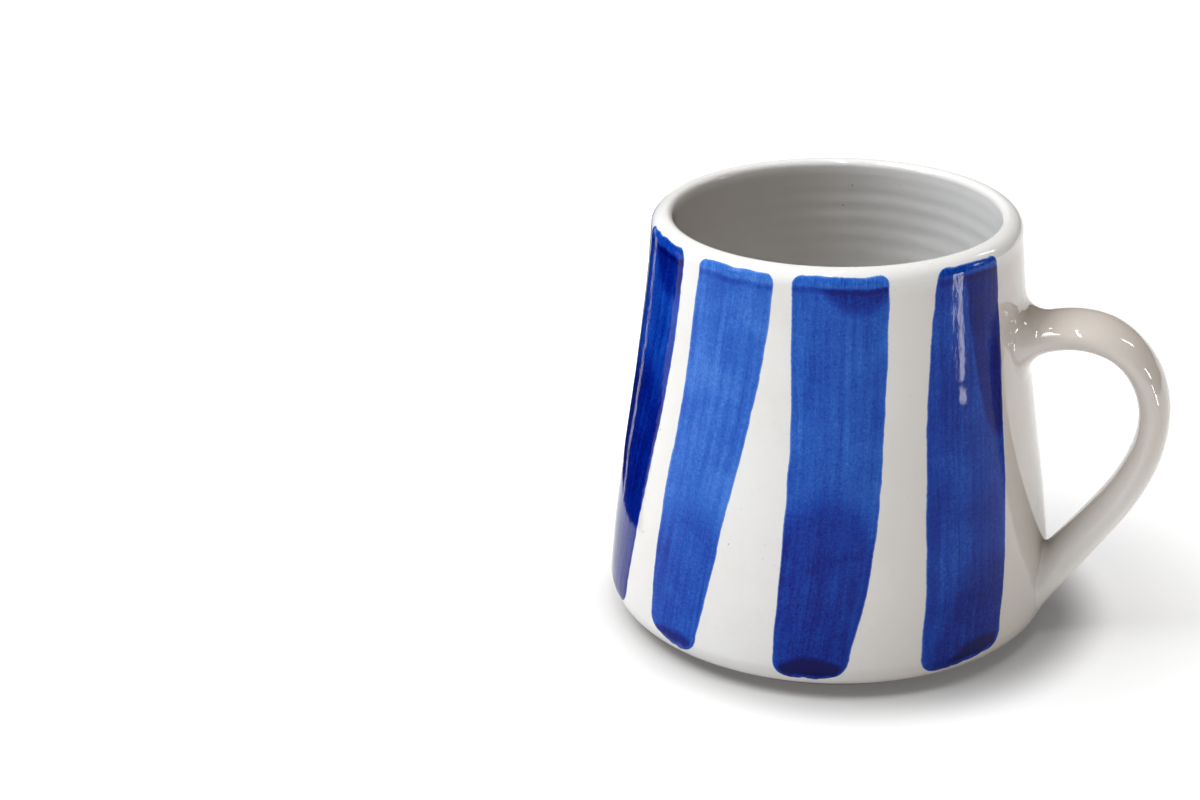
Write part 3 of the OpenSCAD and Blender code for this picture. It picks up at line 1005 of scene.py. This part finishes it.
def make_world():
    """A pale room, dim and warm on the handle's side."""
    world = bpy.data.worlds.new("studio")
    bpy.context.scene.world = world
    world.use_nodes = True
    tree = world.node_tree
    back = tree.nodes["Background"]
    coords = tree.nodes.new("ShaderNodeTexCoord")
    dot = tree.nodes.new("ShaderNodeVectorMath")
    dot.operation = "DOT_PRODUCT"
    dot.inputs[1].default_value = DIM_TOWARD
    tree.links.new(coords.outputs["Generated"], dot.inputs[0])
    share = tree.nodes.new("ShaderNodeMapRange")
    share.interpolation_type = "SMOOTHSTEP"
    share.inputs["From Min"].default_value = DIM_FROM
    share.inputs["From Max"].default_value = DIM_BY
    tree.links.new(dot.outputs["Value"], share.inputs["Value"])
    mix = tree.nodes.new("ShaderNodeMix")
    mix.data_type = "RGBA"
    mix.inputs[6].default_value = (*WORLD_LIT, 1)
    mix.inputs[7].default_value = (*WORLD_DIM, 1)
    tree.links.new(share.outputs["Result"], mix.inputs[0])
    tree.links.new(mix.outputs[2], back.inputs["Color"])
    back.inputs["Strength"].default_value = WORLD_GLOW


# Panels that only reflections show: azimuth and elevation from a point, distance, size, glow, point
MIDDLE = (0, 0, 0.06)
GLINTS = {
    "low_strip": (0.5, -6, 0.225, (0.017, 0.047), 19, (0.032, -0.027, 0.065)),
    "window_left": (-143, 24, 1.2, (0.16, 0.30), 8, MIDDLE),
    "window_top": (128, 56, 1.2, (0.05, 0.22), 24, MIDDLE),
    "window_strip": (-84, 80, 1.2, (0.045, 1.1), 20, MIDDLE),
    "window_right": (14, 13, 0.5, (0.05, 0.10), 16, (0.075, 0, 0.075)),
    "window_far": (42, 34, 1.2, (0.10, 0.26), 9, MIDDLE),
}
NAVY = (0.012, 0.02, 0.09)
BEIGE = (0.16, 0.135, 0.11)
# Cards that only reflections show: place, width, height, azimuth and colour
CARDS = {
    "flag_left": ((-0.097, 0.005, 0), 0.046, 0.115, 160, NAVY),
    "flag_back": ((-0.079, 0.054, 0), 0.050, 0.115, 160, NAVY),
    "flag_right": ((0.62, 0.24, 0), 0.9, 0.30, 20, BEIGE),
}


def make_lights():
    """A soft key from the left, a fill overhead that casts no reflection, and the reflections."""
    soft_light("key", (-0.80, -0.29, 1.47), (0.8, 0.8), 24.5, (1.0, 1.0, 0.99))
    overhead = soft_light("overhead", (0.10, -0.10, 1.5), (0.5, 0.5), 6.6, (1.0, 0.99, 0.98))
    overhead.visible_glossy = False
    for name, panel in GLINTS.items():
        glint(name, *panel)
    for name, card in CARDS.items():
        make_card(name, *card)


# The camera, in millimetres and degrees, fitted to the mug's outline in the photograph. Where it
# stands and the way it looks back are each an azimuth and an elevation.
LENS = 68.35
AIM = (0, 0, 43.05)
DISTANCE = 525.85
STAND_AT = (12.0, 23.748)
LOOK = (18.33, 23.198)
ROLL_CW = 1.139


def toward(azimuth, elevation):
    """The direction from the object to a camera at that azimuth and elevation."""
    a, e = math.radians(azimuth), math.radians(elevation)
    return Vector((math.sin(a) * math.cos(e), -math.cos(a) * math.cos(e), math.sin(e)))


def make_camera():
    data = bpy.data.cameras.new("camera")
    data.lens = LENS
    data.sensor_width = 36
    data.sensor_fit = "HORIZONTAL"
    data.clip_start = 0.01
    camera = bpy.data.objects.new("camera", data)
    bpy.context.scene.collection.objects.link(camera)
    back = toward(*LOOK)
    right = Vector((0, 0, 1)).cross(back).normalized()
    up = back.cross(right)
    frame_of = Matrix((right, up, back)).transposed().to_4x4()
    roll = Matrix.Rotation(math.radians(-ROLL_CW), 4, "Z")
    spot = (Vector(AIM) + DISTANCE * toward(*STAND_AT)) * MM
    camera.matrix_world = Matrix.Translation(spot) @ frame_of @ roll
    bpy.context.scene.camera = camera


# ---- assembly ----------------------------------------------------------------------------------
def finish_piece(obj, material, slot, *nodes):
    obj.data.materials.append(material)
    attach(obj, "root")
    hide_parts(*nodes)


GLAZED = ("outer_glaze", "inner_glaze")
HANDLED = ("handle", "upper_joint", "lower_joint")
finish_piece(make_clay(), clay_material(), "bare_clay", "cup_body")
finish_piece(make_glaze(), glaze_material("white_glaze", WHITE, WARM, True), "white_glaze", *GLAZED)
# The handle's colour is painted shade, with painted light on its lower part
handle_look = glaze_material("handle_glaze", HANDLE_SIDE_SHADE, HANDLE_SIDE_SHADE_WARM)
finish_piece(make_handle(), handle_look, "handle_glaze", *HANDLED)
for number, (row, tone) in enumerate(zip(STROKES, POOLS_AND_REFLECTIONS), 1):
    stroke = make_stroke(number, *row)
    finish_piece(stroke, cobalt_material(number, *tone), "cobalt_glaze", f"blue_stroke_{number}")

make_floor()
make_world()
make_lights()
make_camera()
bpy.context.scene.view_settings.view_transform = "Standard"
